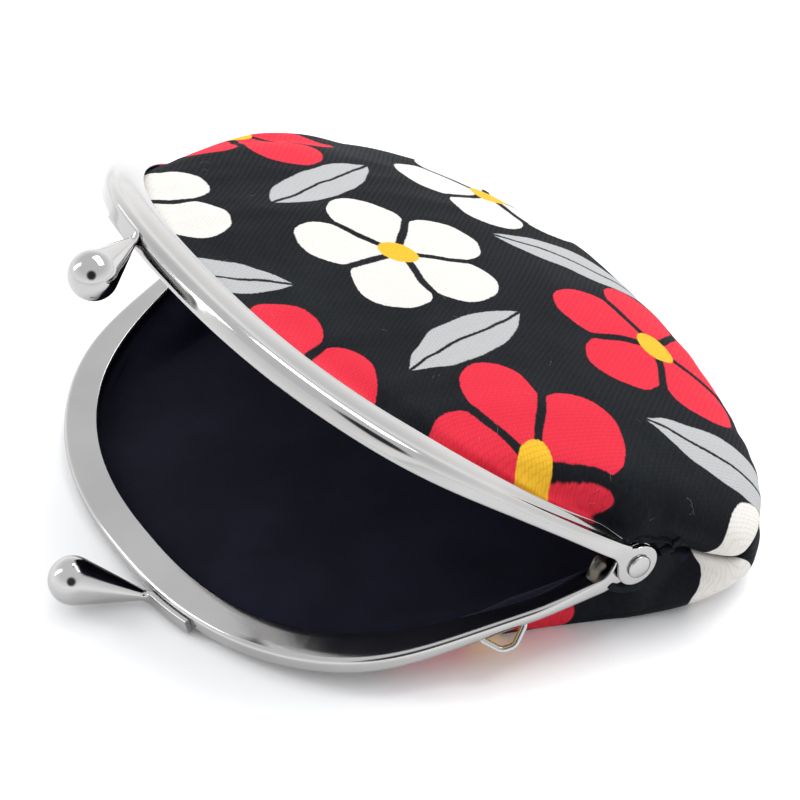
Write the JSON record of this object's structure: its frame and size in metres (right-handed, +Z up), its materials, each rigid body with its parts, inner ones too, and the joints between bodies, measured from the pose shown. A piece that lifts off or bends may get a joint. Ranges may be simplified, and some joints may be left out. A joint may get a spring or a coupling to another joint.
{
  "type": "round coin purse",
  "caption": "Small round cloth coin purse on a hinged metal frame with a snap clasp, lined, lying open on its back half.",
  "frame": {"origin": "on the surface it lies on, under the middle of its bounding box", "axes": "+X runs along the hinge axis to the purse's right side, the side with the strap eye; -Y is the way the mouth opens; +Z is up"},
  "size_m": [0.0914, 0.0828, 0.0433],
  "materials": {
    "frame_metal": "polished warm grey nickel plate with fine rub marks",
    "clasp_metal": "polished nickel plate, mirror bright balls",
    "rivet_metal": "plain nickel plated rivet, slightly dull",
    "printed_cotton": "matt plain-weave cotton, printed with white and red flowers and grey leaves on black",
    "lining_cloth": "matt fine navy lining cloth"
  },
  "bodies": {
    "root": {"front_frame": "frame_metal", "back_frame": "frame_metal", "front_clasp": "clasp_metal", "back_clasp": "clasp_metal", "hinge_rivet_right": "rivet_metal", "hinge_rivet_left": "rivet_metal", "front_cover": "printed_cotton", "back_cover": "printed_cotton", "front_lining": "lining_cloth", "back_lining": "lining_cloth"}
  },
  "joints": []
}
